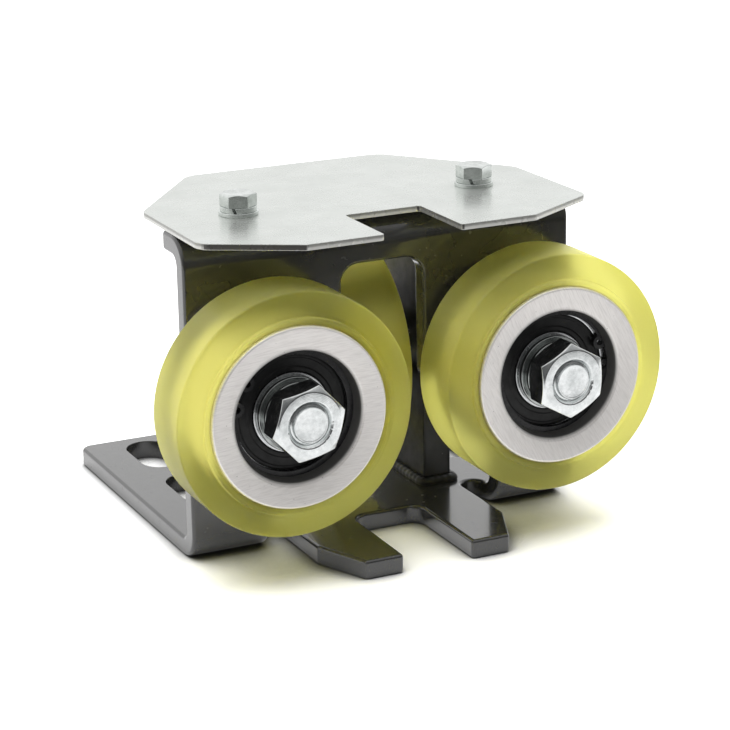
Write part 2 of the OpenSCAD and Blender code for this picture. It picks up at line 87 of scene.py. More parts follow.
def eased(corners: Sequence[tuple[float, float, float]], steps: int = 4) -> list[Point]:
    """Rounds the corners of a closed section.

    Args:
        corners: Each corner as (radius from the axis, height, rounding), in millimetres.
        steps: Number of facets across each rounding.

    Returns:
        The section, with arcs at its rounded corners.
    """
    section: list[Point] = []
    for i, (across, height, rounding) in enumerate(corners):
        if rounding == 0:
            section.append((across, height))
            continue
        corner = Vector((across, height))
        back = (Vector(corners[i - 1][:2]) - corner).normalized()
        ahead = (Vector(corners[(i + 1) % len(corners)][:2]) - corner).normalized()
        half = back.angle(ahead) / 2
        centre = corner + (back + ahead).normalized() * (rounding / math.sin(half))
        start = corner + back * (rounding / math.tan(half)) - centre
        end = corner + ahead * (rounding / math.tan(half)) - centre
        for k in range(steps + 1):
            spoke = start.slerp(end, k / steps)
            section.append((centre.x + spoke.x, centre.y + spoke.y))
    return section


def spun_about(axis: str, degrees: float) -> Matrix:
    """Gives the matrix of a turn about an axis."""
    return Matrix.Rotation(math.radians(degrees), 4, axis)


# ---- the bench: modelling by operators ----


class Bench:
    """Hand work on meshes, done with the modelling operators on one piece at a time."""

    @staticmethod
    def clear() -> None:
        """Deselects everything, so that an operator meets only the new piece."""
        bpy.ops.object.select_all(action="DESELECT")

    @classmethod
    def pick(cls, piece: Piece) -> None:
        """Makes a piece the only one that is selected.

        Args:
            piece: The piece.
        """
        cls.clear()
        piece.select_set(True)
        bpy.context.view_layer.objects.active = piece

    @staticmethod
    def settle(name: str) -> Piece:
        """Names the piece that was added last and puts its place in its mesh.

        Args:
            name: Name of the piece.

        Returns:
            The piece.
        """
        piece = bpy.context.object
        piece.name = name
        bpy.ops.object.transform_apply()
        return piece

    @classmethod
    @contextmanager
    def editing(cls, piece: Piece) -> Iterator[None]:
        """Opens a piece in edit mode with all of it selected, and closes it again.

        Args:
            piece: The piece.
        """
        cls.pick(piece)
        bpy.ops.object.mode_set(mode="EDIT")
        bpy.ops.mesh.select_mode(type="VERT")
        bpy.ops.mesh.select_all(action="SELECT")
        yield
        bpy.ops.object.mode_set(mode="OBJECT")

    @classmethod
    def spin(cls, name: str, section: Sequence[Point], steps: int = 144) -> Piece:
        """Draws a closed section corner by corner and spins it round Z, as on a lathe.

        Args:
            name: Name of the new piece.
            section: Corners of the section as (radius, height), in millimetres.
            steps: Number of facets round the piece.

        Returns:
            The closed piece, with its faces pointing outwards.
        """
        cls.clear()
        start = Vector((section[0][0] * MM, 0, section[0][1] * MM))
        bpy.ops.mesh.primitive_plane_add(size=MM, location=start)
        piece = cls.settle(name)
        with cls.editing(piece):
            bpy.ops.mesh.merge(type="CENTER")
            closed = [*section, section[0]]
            for (r_a, z_a), (r_b, z_b) in zip(closed, closed[1:]):
                step = ((r_b - r_a) * MM, 0, (z_b - z_a) * MM)
                bpy.ops.mesh.extrude_vertices_move(TRANSFORM_OT_translate={"value": step})
            bpy.ops.mesh.select_all(action="SELECT")
            bpy.ops.mesh.remove_doubles(threshold=MERGE)
            bpy.ops.mesh.spin(steps=steps, angle=math.tau, center=(0, 0, 0), axis=(0, 0, 1))
            bpy.ops.mesh.select_all(action="SELECT")
            bpy.ops.mesh.remove_doubles(threshold=MERGE)
            bpy.ops.mesh.normals_make_consistent(inside=False)
        return piece

    @classmethod
    def hexagon(cls, name: str, flats: float, low: float, high: float) -> Piece:
        """Adds a six-sided prism along Z, with a corner on +X.

        Args:
            name: Name of the new piece.
            flats: Width across the flats, in millimetres.
            low: Height of its lower face, in millimetres.
            high: Height of its upper face, in millimetres.

        Returns:
            The prism.
        """
        cls.clear()
        bpy.ops.mesh.primitive_cylinder_add(
            vertices=6, radius=flats / math.sqrt(3) * MM, depth=(high - low) * MM,
            location=(0, 0, (low + high) / 2 * MM), rotation=(0, 0, math.radians(30)),
        )
        return cls.settle(name)

    @classmethod
    def join(cls, piece: Piece, other: Piece) -> None:
        """Makes another piece part of a piece.

        Args:
            piece: The piece that stays.
            other: The piece that goes into it.
        """
        cls.pick(piece)
        other.select_set(True)
        bpy.ops.object.join()

    @classmethod
    def carve(cls, piece: Piece, tool: Piece, cut: Cut) -> None:
        """Cuts a piece with a tool piece, which is then thrown away.

        Args:
            piece: The piece.
            tool: The tool piece.
            cut: What the tool does.
        """
        cls.pick(piece)
        boolean = piece.modifiers.new("carve", "BOOLEAN")
        boolean.operation = cut.value
        boolean.object = tool
        boolean.solver = "EXACT"
        bpy.ops.object.modifier_apply(modifier=boolean.name)
        bpy.data.objects.remove(tool)

    @classmethod
    def soften(
        cls, piece: Piece, width: float, segments: int = 3, angle: float | None = 32.0
    ) -> None:
        """Rounds the sharp edges of a piece.

        Args:
            piece: The piece.
            width: Width of the rounding, in millimetres.
            segments: Number of facets across each rounding.
            angle: Least angle of the edges that are rounded, in degrees, or None where each
                edge takes its own weight's share of the width.
        """
        cls.pick(piece)
        bevel = piece.modifiers.new("soft_edges", "BEVEL")
        bevel.width = width * MM
        bevel.segments = segments
        bevel.limit_method = "WEIGHT" if angle is None else "ANGLE"
        bevel.angle_limit = math.radians(angle or 0.0)
        bevel.use_clamp_overlap = False
        bpy.ops.object.modifier_apply(modifier=bevel.name)

    @staticmethod
    def weigh_sharp_edges(piece: Piece, angle: float, share: Callable[[Vector], float]) -> None:
        """Gives each sharp edge its share of the rounding that follows.

        Args:
            piece: The piece.
            angle: Least angle of a sharp edge, in degrees.
            share: Gives the share, from 0 to 1, for the middle of an edge in millimetres.
        """
        mesh = piece.data
        sides: dict[tuple[int, int], list[Vector]] = {}
        for face in mesh.polygons:
            for key in face.edge_keys:
                sides.setdefault(key, []).append(face.normal)
        weights = mesh.attributes.new("bevel_weight_edge", "FLOAT", "EDGE")
        for edge, weight in zip(mesh.edges, weights.data):
            normals = sides.get(edge.key, [])
            if len(normals) == 2 and normals[0].angle(normals[1], 0.0) > math.radians(angle):
                ends = [mesh.vertices[i].co for i in edge.vertices]
                weight.value = share((ends[0] + ends[1]) / (2 * MM))

    @classmethod
    def even_shade(cls, piece: Piece, angle: float = 40.0) -> None:
        """Shades a piece smooth, with its large faces kept flat.

        Args:
            piece: The piece.
            angle: Least angle of the edges that stay sharp to the eye, in degrees.
        """
        cls.pick(piece)
        bpy.ops.object.shade_smooth_by_angle(angle=math.radians(angle))
        weighted = piece.modifiers.new("flat_faces", "WEIGHTED_NORMAL")
        weighted.keep_sharp = True
        bpy.ops.object.modifier_apply(modifier=weighted.name)

    @classmethod
    def finish_off(
        cls, piece: Piece, width: float = 0.0, segments: int = 2, angle: float = 32.0,
        shade: float = 40.0,
    ) -> Piece:
        """Rounds and shades a piece, and stores on it where its points lie now.

        Args:
            piece: The piece, modelled round Z and not yet fitted.
            width: Width of its roundings in millimetres, or 0 where it has none.
            segments: Number of facets across each rounding.
            angle: Least angle of the edges that are rounded, in degrees.
            shade: Least angle of the edges that stay sharp to the eye, in degrees.

        Returns:
            The same piece.
        """
        if width:
            cls.soften(piece, width, segments, angle)
        cls.even_shade(piece, shade)
        mesh = piece.data
        places = mesh.attributes.new("own_place", "FLOAT_VECTOR", "POINT")
        flat = [0.0] * (3 * len(mesh.vertices))
        mesh.vertices.foreach_get("co", flat)
        places.data.foreach_set("vector", flat)
        return piece

    @classmethod
    def copy_of_node(cls, node: str, name: str) -> Piece:
        """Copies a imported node's mesh and joins its loose triangles into clean faces.

        Args:
            node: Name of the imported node.
            name: Name of the copy.

        Returns:
            The copy, at the node's own place.
        """
        piece = bpy.data.objects.new(name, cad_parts[node].data.copy())
        piece.data.materials.clear()
        bpy.context.scene.collection.objects.link(piece)
        cls.pick(piece)
        bpy.ops.mesh.customdata_custom_splitnormals_clear()
        with cls.editing(piece):
            bpy.ops.mesh.remove_doubles(threshold=MERGE)
            bpy.ops.mesh.dissolve_limited(angle_limit=math.radians(FLAT))
        return piece

    @classmethod
    def fitted_copy(cls, master: Piece, name: str, place: Matrix) -> Piece:
        """Copies a finished piece and puts the copy in its place.

        Args:
            master: The piece, modelled round Z at the origin.
            name: Name of the copy.
            place: Where it goes, in metres.

        Returns:
            The copy, with its place in its mesh.
        """
        cls.pick(master)
        bpy.ops.object.duplicate(linked=False)
        piece = bpy.context.object
        piece.name = name
        piece.matrix_world = place
        bpy.ops.object.transform_apply(location=True, rotation=True, scale=True)
        return piece


def hand_over(piece: Piece, material: Finish, body: str, slot: str, *nodes: str) -> None:
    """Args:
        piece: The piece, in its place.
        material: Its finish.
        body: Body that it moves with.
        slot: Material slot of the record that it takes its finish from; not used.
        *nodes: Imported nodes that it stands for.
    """
    piece.data.materials.clear()
    piece.data.materials.append(material)
    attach(piece, body)
    if nodes:
        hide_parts(*nodes)
    LOG.info("%s: %d faces on %s", piece.name, len(piece.data.polygons), body)


# ---- finishes ----


class Nodes:
    """Node work on one tree, where a source is an output to link or a value to set."""

    def __init__(self, tree: bpy.types.NodeTree) -> None:
        """Takes a tree and empties it.

        Args:
            tree: The tree.
        """
        self.tree = tree
        tree.nodes.clear()

    def put(self, source: Source, target: Socket) -> None:
        """Links an output to an input, or sets the input to a value.

        Args:
            source: The output or the value.
            target: The input.
        """
        if isinstance(source, Socket):
            self.tree.links.new(source, target)
        elif target.type == "RGBA":
            target.default_value = (*source, 1)
        else:
            target.default_value = source

    def add(self, kind: str, *sources: Source, **settings: object) -> Node:
        """Adds a node.

        Args:
            kind: Kind of the node, without the beginning that all kinds share.
            *sources: What its first inputs get, in order.
            **settings: Its settings.

        Returns:
            The node.
        """
        node = self.tree.nodes.new(f"ShaderNode{kind}")
        for key, value in settings.items():
            setattr(node, key, value)
        for source, target in zip(sources, node.inputs):
            self.put(source, target)
        return node

    def fill(self, node: Node, **sources: Source) -> Node:
        """Links or sets a node's inputs by their names.

        Args:
            node: The node.
            **sources: What each input gets; underscores stand for spaces.

        Returns:
            The same node.
        """
        for key, source in sources.items():
            self.put(source, node.inputs[key.replace("_", " ")])
        return node

    def object_place(self) -> Socket:
        """Gives the place on the object, in metres."""
        return self.add("TexCoord").outputs["Object"]

    def stored(self, name: str) -> Node:
        """Adds the node that reads what a mesh stores under a name."""
        return self.add("Attribute", attribute_name=name)

    def own_place(self) -> Socket:
        """Gives the place on the piece as it was modelled, round its own Z."""
        return self.stored("own_place").outputs["Vector"]

    def mapped(self, place: Socket, scale: Scales, turn: float = 0.0) -> Socket:
        """Stretches a place, and turns it round Z first.

        Args:
            place: The place.
            scale: Scale along each axis.
            turn: Turn in degrees.

        Returns:
            The new place.
        """
        turned = self.add("Mapping", place, vector_type="TEXTURE")
        self.fill(turned, Rotation=(0, 0, math.radians(turn)))
        stretched = self.add("Mapping", turned.outputs["Vector"], vector_type="POINT")
        return self.fill(stretched, Scale=scale).outputs["Vector"]

    def noise(
        self, place: Socket, scale: float, detail: float = 2.0, rough: float = 0.5
    ) -> Socket:
        """Gives soft noise from 0 to 1.

        Args:
            place: The place.
            scale: Scale in cycles per metre.
            detail: Number of finer layers.
            rough: Share of the finer layers.

        Returns:
            The noise.
        """
        node = self.add("TexNoise", place)
        return self.fill(node, Scale=scale, Detail=detail, Roughness=rough).outputs["Fac"]

    def dots(self, place: Socket, scale: float) -> Socket:
        """Gives 1 on tiny strewn dots and 0 beside them.

        Args:
            place: The place.
            scale: Number of dots in a metre.

        Returns:
            The share of the dots.
        """
        cells = self.fill(self.add("TexVoronoi", place), Scale=scale)
        return self.spread(cells.outputs["Distance"], (0.03, 1.0), (0.07, 0.0))

    def rings(self, place: Socket, per_metre: float) -> Socket:
        """Gives fine rings round Z from 0 to 1, as a lathe tool leaves them.

        Args:
            place: The place.
            per_metre: Number of rings in a metre.

        Returns:
            The height of the rings.
        """
        node = self.add("TexWave", place, wave_type="RINGS", rings_direction="Z")
        self.fill(node, Scale=per_metre / WAVE_RATE * math.tau, Distortion=0.6, Detail=1.0)
        return node.outputs["Fac"]

    def radius(self, place: Socket) -> Socket:
        """Gives the distance of a place from the Z axis."""
        flat = self.add("VectorMath", place, (1, 1, 0), operation="MULTIPLY")
        return self.add("VectorMath", flat.outputs["Vector"], operation="LENGTH").outputs["Value"]

    def spread(
        self, value: Socket, low: Point, high: Point, slope: Slope = Slope.STRAIGHT
    ) -> Socket:
        """Maps a value from one range to another, clamped.

        Args:
            value: The value.
            low: The value at the low end and what it becomes.
            high: The value at the high end and what it becomes.
            slope: How it goes from one to the other.

        Returns:
            The mapped value.
        """
        ends = (low[0], high[0], low[1], high[1])
        node = self.add("MapRange", value, *ends, interpolation_type=slope.value)
        return node.outputs["Result"]

    def uneven(self, noise: Socket, ends: Point) -> Socket:
        """Maps noise, most of which lies near the middle, onto a whole range."""
        return self.spread(noise, (0.3, ends[0]), (0.7, ends[1]))

    def tint(self, value: Socket, stops: Sequence[tuple[float, Colour]]) -> Socket:
        """Colours a value from 0 to 1 along a ramp.

        Args:
            value: The value.
            stops: Each stop's place on the ramp and its colour.

        Returns:
            The colour.
        """
        ramp = self.add("ValToRGB", value)
        elements = ramp.color_ramp.elements
        while len(elements) < len(stops):
            elements.new(1.0)
        for element, (place, colour) in zip(elements, stops):
            element.position = place
            element.color = (*colour, 1)
        return ramp.outputs["Color"]

    def blend(self, share: Socket, first: Source, second: Source) -> Socket:
        """Mixes two colours.

        Args:
            share: Share of the second colour, from 0 to 1.
            first: The first colour.
            second: The second colour.

        Returns:
            The colour between them.
        """
        node = self.add("Mix", share, data_type="RGBA")
        self.put(first, node.inputs[6])
        self.put(second, node.inputs[7])
        return node.outputs[2]

    def times(self, first: Socket, second: Source) -> Socket:
        """Multiplies two values."""
        return self.add("Math", first, second, operation="MULTIPLY").outputs[0]

    def larger(self, first: Socket, second: Source) -> Socket:
        """Gives the larger of two values."""
        return self.add("Math", first, second, operation="MAXIMUM").outputs[0]

    def bump(
        self, height: Socket, depth: float, strength: float = 1.0, below: Socket | None = None
    ) -> Socket:
        """Raises the surface by a height from 0 to 1.

        Args:
            height: The height.
            depth: What a height of 1 stands for, in millimetres.
            strength: Strength of the relief.
            below: A relief that this one lies on.

        Returns:
            The normal.
        """
        node = self.fill(self.add("Bump"), Strength=strength, Distance=depth * MM, Height=height)
        if below is not None:
            self.fill(node, Normal=below)
        return node.outputs["Normal"]


class Recipe(Nodes):
    """A node material in the making, with one Principled shader."""

    def __init__(self, name: str) -> None:
        """Starts a material.

        Args:
            name: Its name.
        """
        self.material = bpy.data.materials.new(name)
        self.material.use_nodes = True
        super().__init__(self.material.node_tree)
        self.shader = self.add("BsdfPrincipled")
        self.add("OutputMaterial", self.shader.outputs["BSDF"])

    def dress(self, **sources: Source) -> Finish:
        """Links or sets the shader's inputs.

        Args:
            **sources: What each input gets; underscores stand for spaces.

        Returns:
            The finished material.
        """
        self.fill(self.shader, **sources)
        return self.material


@dataclass(frozen=True)
class GreyPaint:
    """Dark grey paint under a clear skin, with fine orange peel and a little dust."""

    name: str = "glossy_grey_paint"
    skin: float = 1.0
    gloss: Point = (0.18, 0.28)
    dark: Colour = (0.027, 0.027, 0.026)
    light: Colour = (0.035, 0.035, 0.034)
    speck: Colour = (0.16, 0.16, 0.155)
    skin_gloss: float = 0.11
    index: float = 1.50
    specks_per_metre: float = 230
    wave: Relief = (110, 0.006)
    peel: Relief = (1300, 0.005)

    def make(self) -> Finish:
        """Builds the material.

        Returns:
            The material.
        """
        r = Recipe(self.name)
        place = r.object_place()
        colour = r.tint(r.noise(place, 30, 4, 0.6), [(0.35, self.dark), (0.65, self.light)])
        rare = r.spread(r.noise(place, 90, 2), (0.58, 0.0), (0.64, 0.7))
        dust = r.times(r.dots(place, self.specks_per_metre), rare)
        wave = r.bump(r.noise(place, self.wave[0], 1), self.wave[1])
        peel = r.bump(r.noise(place, self.peel[0], 2, 0.6), self.peel[1], below=wave)
        return r.dress(
            Base_Color=r.blend(dust, colour, self.speck),
            Roughness=r.uneven(r.noise(place, 260, 3), self.gloss),
            IOR=self.index, Specular_IOR_Level=0.5, Normal=peel,
            Coat_Weight=self.skin, Coat_Roughness=self.skin_gloss, Coat_IOR=self.index,
            Coat_Normal=peel,
        )


@dataclass(frozen=True)
class CoverZinc:
    """Pale galvanised sheet with rolling marks, its sheared edge in two bands, partly in painted
    shade.
    """

    dark: Colour = (0.61, 0.635, 0.605)
    light: Colour = (0.68, 0.705, 0.675)
    # painted shade: the dark tone of the sheared faces that face the left chamfer's way
    sheared: Colour = (0.085, 0.082, 0.076)
    burnished: Colour = (0.74, 0.74, 0.71)
    torn: tuple[Colour, ...] = ((0.40, 0.40, 0.38), (0.30, 0.30, 0.28), (0.50, 0.50, 0.48))
    torn_from: tuple[float, ...] = (0.62, 0.86, 1.0)
    gloss: Point = (0.22, 0.32)
    metal: Point = (0.7, 0.25)
    rolled: Scales = (22, 900, 22)
    low: float = 133.0
    thick: float = 2.5

    def edge(self, r: Recipe, place: Socket) -> Socket:
        """Colours the sheared edge, burnished below and torn above.

        Args:
            r: The recipe.
            place: The place on the object.

        Returns:
            The colour.
        """
        height = r.add("SeparateXYZ", place).outputs["Z"]
        across = r.spread(height, (self.low * MM, 0.0), ((self.low + self.thick) * MM, 1.0))
        ragged = r.uneven(r.noise(r.mapped(place, (500, 500, 1500)), 1.0, 3, 0.6), (0.92, 1.1))
        stops = [(0.0, self.burnished), (0.40, self.burnished), *zip(self.torn_from, self.torn)]
        return r.tint(r.times(across, ragged), stops)

    def make(self) -> Finish:
        """Builds the material.

        Returns:
            The material.
        """
        r = Recipe("galvanised_sheet")
        place = r.object_place()
        sheet = r.tint(r.noise(place, 70, 5, 0.65), [(0.3, self.dark), (0.7, self.light)])
        # painted shade: the stored share turns the sheared edge dark where it faces the left
        # chamfer's way
        cut_edge_with_painted_shade = r.blend(r.stored("cut_painted_shade").outputs["Fac"], self.edge(r, place), self.sheared)
        cut = r.stored("cut_face").outputs["Fac"]
        grain = r.bump(r.noise(r.mapped(place, self.rolled, 4), 1.0, 3, 0.6), 0.002, 0.5)
        return r.dress(
            Base_Color=r.blend(cut, sheet, cut_edge_with_painted_shade),
            Metallic=r.spread(cut, (0.0, self.metal[0]), (1.0, self.metal[1])),
            Roughness=r.uneven(r.noise(place, 60, 4, 0.7), self.gloss),
            Normal=r.bump(r.noise(place, 200, 2), 0.004, 0.5, grain),
        )


@dataclass(frozen=True)
class BrightZinc:
    """Bright zinc plate on bolts, nuts and washers, over fine turning marks."""

    name: str = "bright_zinc_plate"
    dark: Colour = (0.58, 0.605, 0.605)
    light: Colour = (0.80, 0.82, 0.82)
    mark_depth: float = 0.006
    gloss: Point = (0.13, 0.27)
    marks_per_metre: float = 1800
    dents: Relief = (300, 0.03)

    def make(self) -> Finish:
        """Builds the material.

        Returns:
            The material.
        """
        r = Recipe(self.name)
        place = r.object_place()
        marks = r.bump(r.rings(r.own_place(), self.marks_per_metre), self.mark_depth, 0.7)
        return r.dress(
            Base_Color=r.tint(
                r.noise(place, 170, 4, 0.6), [(0.3, self.dark), (0.62, self.light)]
            ),
            Metallic=1.0,
            Roughness=r.uneven(r.noise(place, 500, 3, 0.6), self.gloss),
            Normal=r.bump(r.noise(place, self.dents[0], 3, 0.6), self.dents[1], 0.6, marks),
        )


@dataclass(frozen=True)
class TurnedAluminium:
    """Pale aluminium with short straight grinding streaks, tiny nicks, and painted shade in its
    bore.
    """

    dark: Colour = (0.80, 0.77, 0.745)
    light: Colour = (0.94, 0.91, 0.885)
    # painted shade and reflection: the dark grey of the bore and its chamfer, where they mirror
    # the black seal
    bore: Colour = (0.16, 0.155, 0.15)
    nick: Colour = (0.30, 0.28, 0.26)
    metal: float = 0.65
    gloss: Point = (0.40, 0.55)
    long_streaks: Scales = (170, 2300, 300)
    short_streaks: Scales = (420, 3600, 300)
    nicks_per_metre: float = 330
    bore_r: float = 26.0

    def make(self) -> Finish:
        """Builds the material.

        Returns:
            The material.
        """
        r = Recipe("ground_aluminium")
        own = r.own_place()
        long = r.noise(r.mapped(own, self.long_streaks, 3), 1.0, 3, 0.65)
        short = r.noise(r.mapped(own, self.short_streaks, -4), 1.0, 2, 0.6)
        streaked = r.tint(long, [(0.28, self.dark), (0.6, self.light)])
        face = r.blend(r.dots(own, self.nicks_per_metre), streaked, self.nick)
        # painted shade: dark on the bore, fading out across its chamfer
        inside = r.spread(
            r.radius(own), ((self.bore_r + 0.1) * MM, 1.0), ((self.bore_r + 1.3) * MM, 0.0)
        )
        return r.dress(
            Base_Color=r.blend(inside, face, self.bore),
            Metallic=self.metal,
            Roughness=r.uneven(short, self.gloss),
            Normal=r.bump(short, 0.006, 0.7, r.bump(long, 0.010, 0.9)),
        )


@dataclass(frozen=True)
class BearingSteel:
    """Ground steel of rings, balls and cages."""

    dark: Colour = (0.50, 0.51, 0.52)
    light: Colour = (0.68, 0.69, 0.70)
    gloss: Point = (0.16, 0.28)

    def make(self) -> Finish:
        """Builds the material.

        Returns:
            The material.
        """
        r = Recipe("ground_bearing_steel")
        place = r.object_place()
        return r.dress(
            Base_Color=r.tint(r.noise(place, 260, 3), [(0.3, self.dark), (0.7, self.light)]),
            Metallic=1.0,
            Roughness=r.uneven(r.noise(place, 900, 2), self.gloss),
            Normal=r.bump(r.noise(place, 1500, 2), 0.008, 0.5),
        )


@dataclass(frozen=True)
class Polyurethane:
    """Translucent yellow polyurethane, with a thin brown ring of painted shade next to the hub.
    """

    # painted shade: the thin brown ring next to the hub, where the small step there lies in shade
    gap_shade_tone: Colour = (0.42, 0.36, 0.16)
    side_tone: Colour = (0.905, 0.875, 0.235)
    tread_tone: Colour = (0.915, 0.885, 0.265)
    clear: float = 0.82
    index: float = 1.14
    milkiness: float = 0.9
    light_reach: Colour = (1.0, 0.92, 0.22)
    light_depth: float = 0.010
    skin: float = 0.4
    skin_gloss: float = 0.3
    skin_index: float = 1.5
    gloss: Point = (0.60, 0.70)
    hub_r: float = 35.7
    width: float = 14.3

    def make(self) -> Finish:
        """Builds the material.

        Returns:
            The material.
        """
        r = Recipe("yellow_polyurethane")
        place = r.object_place()
        own = r.own_place()
        out = r.spread(
            r.radius(own), (self.hub_r * MM, 0.0), ((self.hub_r + self.width) * MM, 1.0)
        )
        stops = [(0.0, self.gap_shade_tone), (0.05, self.gap_shade_tone), (0.10, self.side_tone)]
        tone = r.tint(out, [*stops, (1.0, self.tread_tone)])
        cloudy = r.spread(r.noise(place, 26, 3), (0.35, 0.0), (0.7, 0.2))
        turned = r.bump(r.rings(own, 900), 0.004, 0.5)
        return r.dress(
            Base_Color=r.blend(cloudy, tone, self.side_tone),
            Roughness=r.uneven(r.noise(place, 210, 3), self.gloss), IOR=self.index,
            Normal=r.bump(r.noise(place, 420, 2), 0.012, 0.5, turned),
            Transmission_Weight=self.clear, Subsurface_Weight=self.milkiness,
            Subsurface_Radius=self.light_reach, Subsurface_Scale=self.light_depth,
            Coat_Weight=self.skin, Coat_Roughness=self.skin_gloss, Coat_IOR=self.skin_index,
        )


@dataclass(frozen=True)
class BlackRubber:
    """Satin black rubber of the bearing seals, or blackened steel."""

    name: str = "satin_black_rubber"
    tone: Colour = (0.006, 0.006, 0.006)
    worn: Colour = (0.014, 0.014, 0.014)
    gloss: Point = (0.34, 0.5)

    def make(self) -> Finish:
        """Builds the material.

        Returns:
            The material.
        """
        r = Recipe(self.name)
        place = r.object_place()
        return r.dress(
            Base_Color=r.tint(r.noise(place, 240, 4), [(0.4, self.tone), (0.75, self.worn)]),
            Roughness=r.uneven(r.noise(place, 420, 3), self.gloss),
            Specular_IOR_Level=0.3,
            Normal=r.bump(r.noise(place, 1100, 2), 0.015, 0.6),
        )


class Finishes:
    """One material of each finish, shared by the pieces."""

    def __init__(self) -> None:
        """Builds them all."""
        self.paint = GreyPaint().make()
        # painted shade: a darker, low-gloss copy of the grey paint, for the post and the weld
        # bead in the narrow gap beside the rear roller
        self.shaded_low_gloss_paint = GreyPaint(
            name="shaded_low_gloss_grey_paint", skin=0.15, gloss=(0.42, 0.55),
            dark=(0.012, 0.012, 0.011), light=(0.018, 0.018, 0.017),
        ).make()
        self.cover = CoverZinc().make()
        self.zinc = BrightZinc().make()
        # painted shade: a darker copy of the bright zinc, for the washers that sit behind the
        # nuts and bolt heads
        self.zinc_in_painted_shade = BrightZinc(
            name="zinc_plate_in_painted_shade", dark=(0.26, 0.275, 0.27), light=(0.46, 0.48, 0.47),
            mark_depth=0.004,
        ).make()
        self.screw_zinc = BrightZinc(
            name="screw_zinc_plate", dark=(0.50, 0.53, 0.51), light=(0.76, 0.79, 0.77),
            mark_depth=0.004, gloss=(0.16, 0.28),
        ).make()
        self.alloy = TurnedAluminium().make()
        self.steel = BearingSteel().make()
        self.tyre = Polyurethane().make()
        self.rubber = BlackRubber().make()
        self.black_steel = BlackRubber(
            name="black_spring_steel", tone=(0.010, 0.010, 0.011), worn=(0.028, 0.028, 0.028),
            gloss=(0.22, 0.36),
        ).make()


# ---- fasteners, modelled round Z ----


